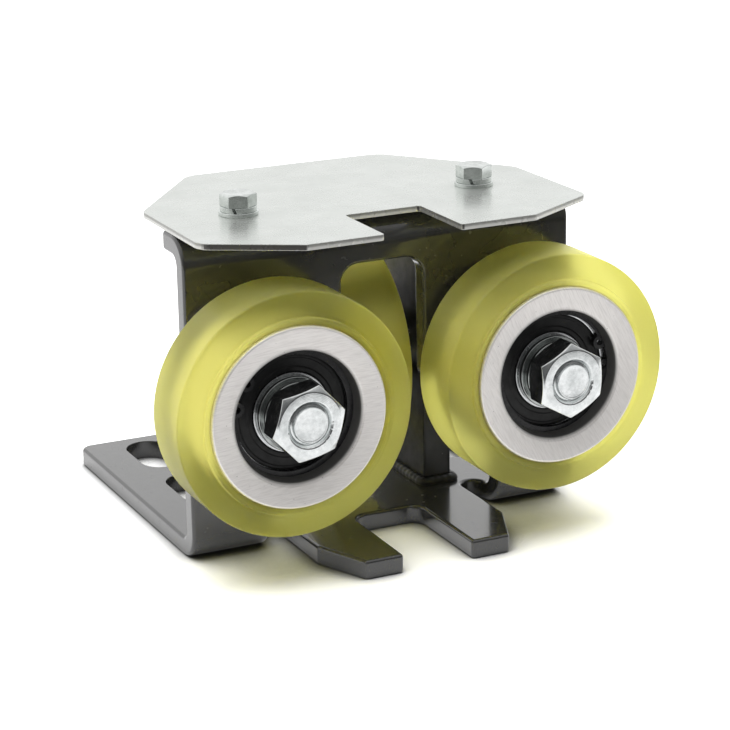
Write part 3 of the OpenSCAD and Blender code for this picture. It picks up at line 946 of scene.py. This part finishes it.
@dataclass
class FastenerSet:
    """Hexagons, washers and shanks of one thread size, in millimetres."""

    thread_r: float
    flats: float
    washer_r: float
    washer_t: float
    lock_r: float
    lock_t: float
    hole_gap: float
    softness: float
    face_share: float = 0.955
    turned_at: float = 30.0
    crests: int = 4
    bore_gap: float = 0.05
    lock_gap: float = 0.2
    washer_rounding: float = 1.4
    lock_rounding: float = 1.1
    split_lean: float = 25.0
    fine_angle: float = 24.0
    shade_angle: float = 50.0
    turned_steps: int = 120
    bore_steps: int = 96

    def turned_hexagon(
        self, name: str, low: float, high: float, turn_low: bool, turn_high: bool
    ) -> Piece:
        """Models a hexagon whose corners are turned off at the chosen ends.

        Args:
            name: Name of the piece.
            low: Height of its lower face.
            high: Height of its upper face.
            turn_low: True where the lower corners are turned off.
            turn_high: True where the upper corners are turned off.

        Returns:
            The piece.
        """
        corner = self.flats / math.sqrt(3) + 1
        face = self.flats / 2 * self.face_share
        drop = (corner - face) * math.tan(math.radians(self.turned_at))
        section: list[Point] = [(0, low)]
        section += [(face, low), (corner, low + drop)] if turn_low else [(corner, low)]
        section += [(corner, high - drop), (face, high)] if turn_high else [(corner, high + 0.2)]
        section.append((0, section[-1][1]))
        piece = Bench.hexagon(name, self.flats, low, high)
        blank = Bench.spin("turning_blank", section, self.turned_steps)
        Bench.carve(piece, blank, Cut.KEEP_INSIDE)
        return piece

    def nut(self, name: str, low: float, high: float, sink: float) -> Piece:
        """Models a nut with a countersunk bore.

        Args:
            name: Name of the piece.
            low: Height of its lower face.
            high: Height of its upper face.
            sink: Depth of the countersink.

        Returns:
            The piece.
        """
        piece = self.turned_hexagon(name, low, high, True, True)
        bore = self.thread_r + self.bore_gap
        section = [
            (0, low - 1), (bore + sink + 1, low - 1), (bore, low + sink), (bore, high - sink),
            (bore + sink + 1, high + 1), (0, high + 1),
        ]
        Bench.carve(piece, Bench.spin("bore_tool", section, self.bore_steps), Cut.TAKE_OFF)
        return Bench.finish_off(piece, self.softness, 2, self.fine_angle, self.shade_angle)

    def bolt(self, name: str, seat: float, head: float, end: float) -> Piece:
        """Models a hexagon bolt that points along +Z, with thread crests near its end.

        The crests and the turned end are drawn in shares of the pitch and in millimetres.

        Args:
            name: Name of the piece.
            seat: Height of the seat under its head.
            head: Height of the head.
            end: Height of the end of the shank.

        Returns:
            The piece.
        """
        pitch = self.thread_r / 4
        root = self.thread_r - pitch * 0.6
        section: list[Point] = [(0, seat - head / 2), (self.thread_r, seat - head / 2)]
        crest = end - pitch * (self.crests + 0.4)
        section.append((self.thread_r, crest - pitch * 0.6))
        for _ in range(self.crests):
            section += [
                (root, crest - pitch * 0.1), (root, crest + pitch * 0.05),
                (self.thread_r, crest + pitch * 0.5), (self.thread_r, crest + pitch * 0.62),
            ]
            crest += pitch
        section[-1] = (self.thread_r - 0.05, end - pitch)
        section += [
            (root + 0.45, end - pitch * 0.85), (root + 0.35, end - 0.3), (root + 0.1, end),
            (root - 0.4, end), (root - 0.9, end - 0.08), (0, end - 0.08),
        ]
        shank = Bench.spin(name, section, self.bore_steps)
        top = self.turned_hexagon("bolt_head", seat - head, seat, True, False)
        Bench.soften(top, self.softness, 2, self.fine_angle)
        Bench.join(shank, top)
        return Bench.finish_off(shank, shade=self.shade_angle)

    def disc(self, name: str, hole: float, rim: float, low: float, high: float) -> Piece:
        """Models a flat ring with square edges.

        Args:
            name: Name of the piece.
            hole: Radius of its hole.
            rim: Radius of its rim.
            low: Height of its lower face.
            high: Height of its upper face.

        Returns:
            The piece.
        """
        section = [(hole, low), (rim, low), (rim, high), (hole, high)]
        return Bench.spin(name, section, self.turned_steps)

    def flat_washer(self, name: str, low: float) -> Piece:
        """Models a punched flat washer with rounded rims.

        Args:
            name: Name of the piece.
            low: Height of its lower face.

        Returns:
            The piece.
        """
        hole, high = self.thread_r + self.hole_gap, low + self.washer_t
        piece = self.disc(name, hole, self.washer_r, low, high)
        return Bench.finish_off(piece, self.softness * self.washer_rounding, 3)

    def spring_washer(self, name: str, low: float) -> Piece:
        """Models a split washer, pressed flat, with its slanting gap towards +X.

        Args:
            name: Name of the piece.
            low: Height of its lower face.

        Returns:
            The piece.
        """
        hole, high = self.thread_r + self.lock_gap, low + self.lock_t
        piece = self.disc(name, hole, self.lock_r, low, high)
        Bench.clear()
        bpy.ops.mesh.primitive_cube_add(
            size=1, location=(self.lock_r * MM, 0, (low + high) / 2 * MM),
            rotation=(math.radians(self.split_lean), 0, 0),
            scale=(2 * self.lock_r * MM, self.lock_t / 2 * MM, self.lock_t * 3 * MM),
        )
        Bench.carve(piece, bpy.context.object, Cut.TAKE_OFF)
        return Bench.finish_off(piece, self.softness * self.lock_rounding, 3)


# ---- plate work ----


@dataclass
class PlateWork:
    """The bent plate, the rear post, and the cover, with softened edges, in millimetres.

    The slots and the notch are told by where an edge or a face lies, and a sheared face by
    the way that it faces.
    """

    paint_edge: float = 1.45
    slot_edge: float = 0.35
    slot_x: Point = (49.0, 70.0)
    slot_y: Point = (40.0, 134.0)
    slot_top: float = 9.0
    sharp_from: float = 40.0
    post_edge: float = 1.2
    post_sharp_from: float = 30.0
    cover_edge: float = 0.3
    sheared_below: float = 0.75
    # painted shade on the sheared faces: its share on the notch's right wall, and how it rises on
    # faces turned the left chamfer's way
    notch_half: float = 20.0
    notch_facing: float = -0.7
    notch_painted_shade: float = 0.55
    chamfer_way: Point = (-0.51, -0.86)
    chamfer_from: float = 0.90
    chamfer_rise: float = 14.0

    def edge_share(self, middle: Vector) -> float:
        """Gives the share of the full rounding that an edge of the bent plate takes.

        Args:
            middle: The middle of the edge.

        Returns:
            The share, which is less at the fixing slots.
        """
        in_slots = self.slot_x[0] < abs(middle.x) < self.slot_x[1]
        in_slots = in_slots and self.slot_y[0] < middle.y < self.slot_y[1]
        return self.slot_edge / self.paint_edge if in_slots and middle.z < self.slot_top else 1.0

    def cut_painted_shade(self, face: bpy.types.MeshPolygon) -> float:
        """Gives how much painted shade a sheared face takes.

        Args:
            face: The face.

        Returns:
            The share of the painted shade: most on the left chamfer, half at the notch's right.
        """
        if abs(face.center.x) < self.notch_half * MM and face.normal.x < self.notch_facing:
            return self.notch_painted_shade
        facing = face.normal.dot(Vector((*self.chamfer_way, 0)))
        return min(1.0, max(0.0, (facing - self.chamfer_from) * self.chamfer_rise))

    def mark_cut_faces(self, cover: Piece) -> None:
        """Stores on the cover which faces are sheared, and the share of painted shade on each.

        Args:
            cover: The cover.
        """
        faces = cover.data.polygons
        cut = cover.data.attributes.new("cut_face", "FLOAT", "FACE")
        tone = cover.data.attributes.new("cut_painted_shade", "FLOAT", "FACE")
        sheared = [float(abs(f.normal.z) < self.sheared_below) for f in faces]
        cut.data.foreach_set("value", sheared)
        tone.data.foreach_set("value", [self.cut_painted_shade(f) for f in faces])

    def build(self, finishes: Finishes) -> None:
        """Models and dresses the plates.

        Args:
            finishes: The materials.
        """
        plate = Bench.copy_of_node("frame", "bent_plate")
        Bench.weigh_sharp_edges(plate, self.sharp_from, self.edge_share)
        Bench.soften(plate, self.paint_edge, 4, None)
        post = Bench.copy_of_node("rear_post", "roller_post")
        Bench.soften(post, self.post_edge, 3, self.post_sharp_from)
        cover = Bench.copy_of_node("cover_plate", "notched_cover")
        Bench.soften(cover, self.cover_edge, 2, self.sharp_from)
        for piece in (plate, post, cover):
            Bench.even_shade(piece)
        self.mark_cut_faces(cover)
        hand_over(plate, finishes.paint, "frame_body", "grey_paint", "frame")
        hand_over(post, finishes.shaded_low_gloss_paint, "frame_body", "grey_paint", "rear_post")
        hand_over(cover, finishes.cover, "frame_body", "cover_zinc", "cover_plate")


@dataclass
class WeldBead:
    """The rippled fillet weld round the foot of the post, in millimetres.

    How full the bead is, its ribs and its drift are shares of its leg.
    """

    corner_a: Point = (28.5, 21.5)
    corner_b: Point = (41.0, 75.0)
    floor: float = 8.0
    leg: float = 4.0
    ripple: float = 1.7
    rows: int = 5
    fullness: float = 0.80
    rib: float = 0.05
    rib_start: float = 0.6
    drift: float = 0.04
    drift_rate: float = 1.7
    crown: float = 0.14

    def path(self) -> list[tuple[Vector, Vector]]:
        """Lists the ripples in order round the post.

        Returns:
            For each, the point at the post's foot and the way out from it.
        """
        (x0, y0), (x1, y1) = self.corner_a, self.corner_b
        stops: list[tuple[Vector, Vector]] = []
        sides = [
            ((x1, y0), (x1, y1), (1, 0)), ((x1, y1), (x0, y1), (0, 1)),
            ((x0, y1), (x0, y0), (-1, 0)), ((x0, y0), (x1, y0), (0, -1)),
        ]
        for (ax, ay), (bx, by), (ox, oy) in sides:
            out, along = Vector((ox, oy, 0)), Vector((-oy, ox, 0))
            count = max(2, round(math.dist((ax, ay), (bx, by)) / self.ripple * 2))
            for i in range(count + 1):
                t = i / count
                foot = Vector((ax + (bx - ax) * t, ay + (by - ay) * t, self.floor))
                stops.append((foot, out))
            for a in (math.radians(30), math.radians(60)):
                corner = Vector((bx, by, self.floor))
                stops.append((corner, out * math.cos(a) + along * math.sin(a)))
        return stops

    def build(self, finishes: Finishes) -> None:
        """Models the bead as a strip that swells and shrinks from ripple to ripple.

        Args:
            finishes: The materials.
        """
        stops = self.path()
        Bench.clear()
        bpy.ops.mesh.primitive_grid_add(
            x_subdivisions=len(stops), y_subdivisions=self.rows, size=MM, location=(0, 0, 0)
        )
        bead = Bench.settle("post_weld_bead")
        columns = len(stops) + 1
        for index, vertex in enumerate(bead.data.vertices):
            column, row = index % columns, index // columns
            foot, out = stops[column % len(stops)]
            ripple = self.rib * abs(math.sin(column * math.pi / 2 + self.rib_start))
            drift = self.drift * math.sin(column * self.drift_rate)
            swell = self.fullness + ripple + drift
            a = math.radians(90 * row / self.rows)
            bulge = self.leg * swell * (1 - self.crown + self.crown * math.sin(2 * a))
            point = foot + out * (bulge * math.cos(a)) + Vector((0, 0, bulge * math.sin(a)))
            vertex.co = point * MM
        with Bench.editing(bead):
            bpy.ops.mesh.remove_doubles(threshold=MERGE)
            bpy.ops.mesh.normals_make_consistent(inside=False)
        Bench.even_shade(bead, 60)
        hand_over(bead, finishes.shaded_low_gloss_paint, "frame_body", "grey_paint", "post_weld")


@dataclass
class CoverScrews:
    """The two screws that hold the cover, with their washers, in millimetres and degrees."""

    kit: FastenerSet
    apart: float = 105.5
    depth: float = 21.5
    seat: float = 135.5
    length: float = 16.0
    head: float = 5.3
    tip_chamfer: float = 0.6
    shank_steps: int = 64
    screw_turns: Point = (37, 29)
    lock_turns: Point = (-124, -124)

    def screw(self) -> Piece:
        """Models a screw that stands on its washers, its tip down.

        Returns:
            The screw.
        """
        kit, point = self.kit, self.tip_chamfer
        low = kit.washer_t + kit.lock_t
        tip, r = low - self.length, kit.thread_r
        screw = kit.turned_hexagon("screw_master", low, low + self.head, False, True)
        Bench.soften(screw, kit.softness, 2, kit.fine_angle)
        section = [(0, low + 1), (r, low + 1), (r, tip + point), (r - point, tip), (0, tip)]
        Bench.join(screw, Bench.spin("screw_shank", section, self.shank_steps))
        return Bench.finish_off(screw, shade=kit.shade_angle)

    def build(self, finishes: Finishes) -> None:
        """Models one screw set and fits it twice.

        Args:
            finishes: The materials.
        """
        kit = self.kit
        flat = kit.flat_washer("flat_master", 0)
        lock = kit.spring_washer("lock_master", kit.washer_t)
        for name, master, turns in (
            ("screw", self.screw(), self.screw_turns),
            ("flat_washer", flat, (0, 0)),
            ("spring_washer", lock, self.lock_turns),
        ):
            for sign, side, turn in ((-1, "left", turns[0]), (1, "right", turns[1])):
                spot = Vector((sign * self.apart / 2, self.depth, self.seat)) * MM
                place = Matrix.Translation(spot) @ spun_about("Z", turn)
                piece = Bench.fitted_copy(master, f"cover_{name}_{side}", place)
                hand_over(
                    piece, finishes.screw_zinc, "frame_body", "bright_zinc", f"cover_{name}s"
                )
            bpy.data.objects.remove(master)


# ---- rollers ----


@dataclass(frozen=True)
class RollerSeat:
    """Where one roller sits, and how its pieces are turned, in millimetres and degrees."""

    side: Side
    centre: Place
    carrier: float
    nut_turn: float
    head_turn: float
    clip_turn: float
    lock_turn: float
    face_turn: float

    def place(self, turn: float = 0.0) -> Matrix:
        """Gives the matrix that takes a piece from its own Z axis to the axle.

        Args:
            turn: Turn round the axle first, in degrees.

        Returns:
            The matrix, in metres.
        """
        facing = spun_about("Y", -90) if self.side is Side.REAR else spun_about("X", 90)
        spot = Matrix.Translation(Vector(self.centre) * MM)
        return spot @ facing @ spun_about("Z", turn)


@dataclass
class Roller:
    """Tyre, hub, bearing and circlip, in millimetres round Z with the nut side up."""

    tyre_r: float = 50.0
    tread_half: float = 13.3
    tyre_half: float = 15.2
    side_r: float = 38.2
    hub_r: float = 35.7
    hub_half: float = 15.75
    bore_chamfer: float = 1.5
    shoulder_r: float = 22.8
    bearing_r: float = 26.0
    bore_r: float = 12.5
    bearing_half: float = 7.5
    clip_t: float = 2.15
    groove_r: float = 27.5
    rim: float = 2.8
    inner_rim: float = 3.4
    outer_seat: float = 1.5
    inner_seat: float = 1.6
    outer_track: tuple[Point, ...] = ((21.7, 2.9), (22.6, 2.0), (23.15, 1.0), (23.25, 0.0))
    inner_track: tuple[Point, ...] = ((16.8, 2.9), (15.9, 2.0), (15.35, 1.0), (15.25, 0.0))
    ring_edge: float = 0.35
    seal_edge: float = 0.12
    round_steps: int = 192

    def tyre(self) -> Piece:
        """Models the tyre, with its lip beside the hub and its crowned tread.

        Returns:
            The tyre.
        """
        top, side = self.tyre_half, self.side_r
        half = [
            (self.hub_r, top - 0.4, 0.0), (self.hub_r + 1.0, top - 0.3, 0.6),
            (side - 0.1, top, 0.6), (side + 0.7, top, 0.5), (side + 1.5, top - 0.22, 0.5),
            (side + 2.6, top - 0.30, 1.5), (self.tyre_r, self.tread_half, 2.0),
        ]
        section = eased(half + [(r, -z, e) for r, z, e in reversed(half)])
        return Bench.finish_off(Bench.spin("tyre_master", section, self.round_steps), shade=60)

    def hub(self) -> Piece:
        """Models the hub, with its bearing seat, shoulder and circlip groove.

        Returns:
            The hub.
        """
        top = self.bearing_half + self.clip_t
        h, b = self.hub_half, self.bearing_half
        corners = [
            (self.shoulder_r, -h, 0.3), (self.hub_r, -h, 0.4), (self.hub_r, h, 0.4),
            (self.bearing_r + self.bore_chamfer, h, 1.6),
            (self.bearing_r, h - self.bore_chamfer, 1.2), (self.bearing_r, top, 0.15),
            (self.groove_r, top, 0), (self.groove_r, b, 0), (self.bearing_r, b, 0),
            (self.bearing_r, -b, 0), (self.shoulder_r, -b, 0.3),
        ]
        return Bench.finish_off(Bench.spin("hub_master", eased(corners), self.round_steps))

    def ring(
        self, name: str, base: float, rim: float, seat: float, track: Sequence[Point]
    ) -> Piece:
        """Models a ring of the bearing, with its ball track and seal seats.

        Args:
            name: Name of the piece.
            base: Radius of its plain side.
            rim: Radius of its two rims.
            seat: Depth of the seal seats.
            track: Upper half of the track's section, from its land to its deepest point.

        Returns:
            The piece.
        """
        b = self.bearing_half
        upper = [(base, b), (rim, b), (rim, b - seat), (track[0][0], b - seat), *track]
        section = upper + [(r, -z) for r, z in reversed(upper[:-1])]
        return Bench.finish_off(Bench.spin(name, section), self.ring_edge, 2, 50)

    def outer_ring(self) -> Piece:
        """Models the outer ring of the bearing."""
        rim = self.bearing_r - self.rim
        return self.ring("outer_master", self.bearing_r, rim, self.outer_seat, self.outer_track)

    def inner_ring(self) -> Piece:
        """Models the inner ring of the bearing."""
        rim = self.bore_r + self.inner_rim
        return self.ring("inner_master", self.bore_r, rim, self.inner_seat, self.inner_track)

    def seal(self) -> Piece:
        """Models one pressed seal, with its moulded step and lip.

        Returns:
            The seal.
        """
        outer, inner = self.bearing_r - self.rim, self.bore_r + self.inner_rim + 0.1
        high, low = self.bearing_half - 0.3, self.bearing_half - 1.5
        section = [
            (outer, low), (outer, high - 0.1), (outer - 0.5, high), (outer - 1.3, high),
            (outer - 1.7, high - 0.45), (inner + 2.4, high - 0.45), (inner + 1.9, high - 0.1),
            (inner + 0.5, high - 0.1), (inner, high - 0.4), (inner, low),
        ]
        return Bench.finish_off(Bench.spin("seal_master", section), self.seal_edge, 2, 15, 60)


@dataclass
class RollerSet:
    """The three rollers on their axles, in millimetres."""

    kit: FastenerSet
    roller: Roller
    seats: Sequence[RollerSeat]
    standoff: float = 28.5
    nut_low: float = 13.7
    nut_high: float = 25.5
    nut_sink: float = 1.3
    bolt_end: float = 26.0
    bolt_head: float = 10.0
    clip_edge: float = 0.22
    spinning: tuple[str, ...] = ("tyre", "hub", "outer_ring", "seals", "seals_back")

    def fit(
        self, master: Piece, part: str, finish: Finish, slot: str, turning: str = "",
        node: str = "", seats: Sequence[RollerSeat] = (),
    ) -> None:
        """Fits one copy of a master on each seat, and throws the master away.

        Args:
            master: The piece, modelled round Z.
            part: Its name after the side's.
            finish: Its material.
            slot: Material slot of the record.
            turning: Name of the seat's turn that it takes, if any.
            node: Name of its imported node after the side's, if it isn't the part's.
            seats: The seats that it goes on, if not all of them.
        """
        for seat in seats or self.seats:
            side = seat.side.value
            place = seat.place(getattr(seat, turning) if turning else 0.0)
            piece = Bench.fitted_copy(master, f"{side}_{part}_piece", place)
            body = f"{side}_roller" if part in self.spinning else "frame_body"
            hand_over(piece, finish, body, slot, f"{side}_{node or part}")
        bpy.data.objects.remove(master)

    def build(self, finishes: Finishes) -> None:
        """Models every kind of roller piece once and fits it on the three axles.

        Args:
            finishes: The materials.
        """
        kit, r = self.kit, self.roller
        # the washers take the darker zinc, which is painted shade
        zinc, shaded_zinc = finishes.zinc, finishes.zinc_in_painted_shade
        self.fit(r.tyre(), "tyre", finishes.tyre, "polyurethane", "face_turn")
        self.fit(r.hub(), "hub", finishes.alloy, "turned_aluminium", "face_turn")
        self.fit(r.outer_ring(), "outer_ring", finishes.steel, "bearing_steel")
        self.fit(r.inner_ring(), "inner_ring", finishes.steel, "bearing_steel")
        seal = r.seal()
        back = Bench.fitted_copy(seal, "seal_back_master", spun_about("X", 180))
        self.fit(seal, "seals", finishes.rubber, "black_seal")
        self.fit(back, "seals_back", finishes.rubber, "black_seal", node="seals")
        nut = kit.nut("nut_master", self.nut_low, self.nut_high, self.nut_sink)
        self.fit(nut, "axle_nut", zinc, "bright_zinc", "nut_turn")
        lock = kit.spring_washer("lock_master", self.nut_low - kit.lock_t)
        self.fit(lock, "spring_washer", shaded_zinc, "bright_zinc", "lock_turn")
        for seat in self.seats:
            under_head = -self.standoff - seat.carrier - kit.washer_t
            for end, low in (("front", r.bearing_half), ("back", under_head)):
                washer = kit.flat_washer(f"washer_{end}", low)
                self.fit(
                    washer, f"washer_{end}", shaded_zinc, "bright_zinc", node="axle_washers",
                    seats=[seat],
                )
            bolt = kit.bolt("bolt_master", under_head, self.bolt_head, self.bolt_end)
            self.fit(bolt, "axle_bolt", zinc, "bright_zinc", "head_turn", seats=[seat])
            self.turn_clip(seat, finishes.black_steel)

    def turn_clip(self, seat: RollerSeat, finish: Finish) -> None:
        """Copies a circlip and turns it in its groove.

        Args:
            seat: The roller's seat.
            finish: Its material.
        """
        side = seat.side.value
        clip = Bench.copy_of_node(f"{side}_circlip", f"{side}_circlip_piece")
        clip.data.transform(seat.place(seat.clip_turn) @ seat.place().inverted())
        Bench.soften(clip, self.clip_edge, 2, 40)
        Bench.even_shade(clip)
        hand_over(clip, finish, f"{side}_roller", "black_steel", f"{side}_circlip")


class HiddenParts:
    """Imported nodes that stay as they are, with a better material."""

    def build(self, finishes: Finishes) -> None:
        """Dresses sleeves, balls and cages.

        Args:
            finishes: The materials.
        """
        for side in Side:
            for part in ("sleeve", "balls", "ball_cage"):
                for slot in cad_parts[f"{side.value}_{part}"].material_slots:
                    slot.material = finishes.steel


# ---- studio ----


@dataclass
class Studio:
    """Camera, lights, white surroundings and the pale floor.

    Places are in metres, angles in degrees, and the lens and its film in millimetres.
    """

    camera_place: Place = (-0.40651, -0.84407, 0.35883)
    aim: Place = (0.00227, 0.02298, 0.06429)
    roll: float = -0.98
    lens: float = 119.1
    film: float = 36.0
    sight: Point = (0.01, 60.0)
    key: float = 1.5
    key_from: Place = (-0.15, 0.10, 0.98)
    key_spread: float = 60.0
    white: Colour = (1.0, 1.0, 1.0)
    front: float = 0.14
    back_way: Place = (0, 1, 1.2)
    back_span: Point = (-0.5, 0.8)
    floor_size: float = 40.0
    floor_tone: Colour = (0.68, 0.68, 0.68)
    floor_seen: float = 1.6
    # painted light: the floor's tone and glow for mirror and transmission rays, between these
    # lines along Y
    floor_mirrored: float = 0.36
    floor_glow: float = 1.7
    floor_edge: Point = (-0.36, -0.27)
    edge_level: Point = (0.03, 0.56)
    # painted shadow: reach of the floor's occlusion darkening, and the shares it maps covered and
    # open floor to
    contact: float = 0.030
    covered: Point = (0.3, 0.05)
    uncovered: Point = (0.9, 1.0)

    def set_camera(self) -> None:
        """Puts the camera where the photographer's stood."""
        Bench.clear()
        bpy.ops.object.camera_add(location=self.camera_place)
        camera = bpy.context.object
        away = Vector(self.camera_place) - Vector(self.aim)
        turn = away.to_track_quat("Z", "Y").to_matrix().to_4x4()
        place = Matrix.Translation(self.camera_place)
        camera.matrix_world = place @ turn @ spun_about("Z", self.roll)
        camera.data.lens = self.lens
        camera.data.sensor_width = self.film
        camera.data.clip_start, camera.data.clip_end = self.sight
        bpy.context.scene.camera = camera

    def set_lights(self) -> None:
        """Adds the soft key light and the surroundings.

        The surroundings are white to the camera, and elsewhere dimmer low down in front.
        """
        Bench.clear()
        bpy.ops.object.light_add(type="SUN", location=Vector(self.key_from))
        key = bpy.context.object
        key.name = "soft_key"
        key.rotation_euler = Vector(self.key_from).to_track_quat("Z", "Y").to_euler()
        key.data.energy = self.key
        key.data.angle = math.radians(self.key_spread)
        key.visible_glossy = False
        world = bpy.data.worlds.new("white_studio")
        bpy.context.scene.world = world
        world.use_nodes = True
        n = Nodes(world.node_tree)
        way = n.add("TexCoord").outputs["Generated"]
        back = n.add("VectorMath", way, self.back_way, operation="DOT_PRODUCT").outputs["Value"]
        low, high = self.back_span
        level = n.spread(back, (low, self.front), (high, 1.0), Slope.SMOOTH)
        seen = n.larger(n.add("LightPath").outputs["Is Camera Ray"], level)
        n.add("OutputWorld", n.add("Background", self.white, seen).outputs["Background"])

    def floor_finish(self) -> Finish:
        """Builds the floor's material: white to the camera, and with a painted glow from behind
        in mirrors.

        Returns:
            The material, with painted shadow in both where something rests on the floor.
        """
        r = Recipe("pale_floor")
        rays = r.add("LightPath").outputs
        depth = r.add("SeparateXYZ", r.object_place()).outputs["Y"]
        near_end, far_end = zip(self.floor_edge, self.edge_level)
        # painted light: for mirror and transmission rays the floor glows and is paler behind a
        # line in front of the object
        behind = r.spread(depth, near_end, far_end)
        # painted shadow: ambient occlusion darkens the floor where something covers it
        sky = r.fill(r.add("AmbientOcclusion", samples=8), Distance=self.contact)
        free = r.spread(sky.outputs["AO"], self.covered, self.uncovered)
        beyond = r.larger(rays["Is Glossy Ray"], rays["Is Transmission Ray"])
        mirrored = r.blend(beyond, self.floor_tone, r.times(behind, self.floor_mirrored))
        glow = r.times(r.times(behind, free), self.floor_glow)
        return r.dress(
            Base_Color=r.blend(
                rays["Is Camera Ray"], mirrored, r.times(free, self.floor_seen)
            ),
            Roughness=0.9, Specular_IOR_Level=0.0,
            Emission_Color=self.white, Emission_Strength=r.times(glow, beyond),
        )

    def lay_floor(self) -> None:
        """Lays the pale floor."""
        Bench.clear()
        bpy.ops.mesh.primitive_plane_add(size=self.floor_size, location=(0, 0, 0))
        floor = Bench.settle("studio_floor")
        floor.data.materials.append(self.floor_finish())

    def build(self) -> None:
        """Sets up the whole studio."""
        self.set_camera()
        self.set_lights()
        self.lay_floor()
        bpy.context.scene.view_settings.view_transform = "Standard"


COVER_KIT = FastenerSet(
    thread_r=4.0, flats=13.0, washer_r=8.0, washer_t=1.6, lock_r=7.4, lock_t=2.0,
    hole_gap=0.5, softness=0.18,
)
AXLE_KIT = FastenerSet(
    thread_r=8.0, flats=27.0, washer_r=15.0, washer_t=3.0, lock_r=13.7, lock_t=3.2,
    hole_gap=0.5, softness=0.35,
)
SEATS = (
    RollerSeat(
        Side.LEFT, centre=(-57.0, -28.5, 70.0), carrier=8.0,
        nut_turn=13, head_turn=10, clip_turn=175, lock_turn=-60, face_turn=0,
    ),
    RollerSeat(
        Side.RIGHT, centre=(57.0, -28.5, 70.0), carrier=8.0,
        nut_turn=30, head_turn=25, clip_turn=-20, lock_turn=-75, face_turn=-65,
    ),
    RollerSeat(
        Side.REAR, centre=(0.0, 48.0, 65.0), carrier=12.5,
        nut_turn=8, head_turn=20, clip_turn=0, lock_turn=200, face_turn=70,
    ),
)


def main() -> None:
    """Builds the scene in order."""
    logging.basicConfig(level=logging.INFO, format="%(name)s: %(message)s")
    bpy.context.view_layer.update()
    Studio().build()
    finishes = Finishes()
    rollers = RollerSet(AXLE_KIT, Roller(), SEATS)
    for assembly in (PlateWork(), WeldBead(), CoverScrews(COVER_KIT), rollers, HiddenParts()):
        LOG.info("building %s", type(assembly).__name__)
        assembly.build(finishes)


if __name__ == "__main__":
    main()
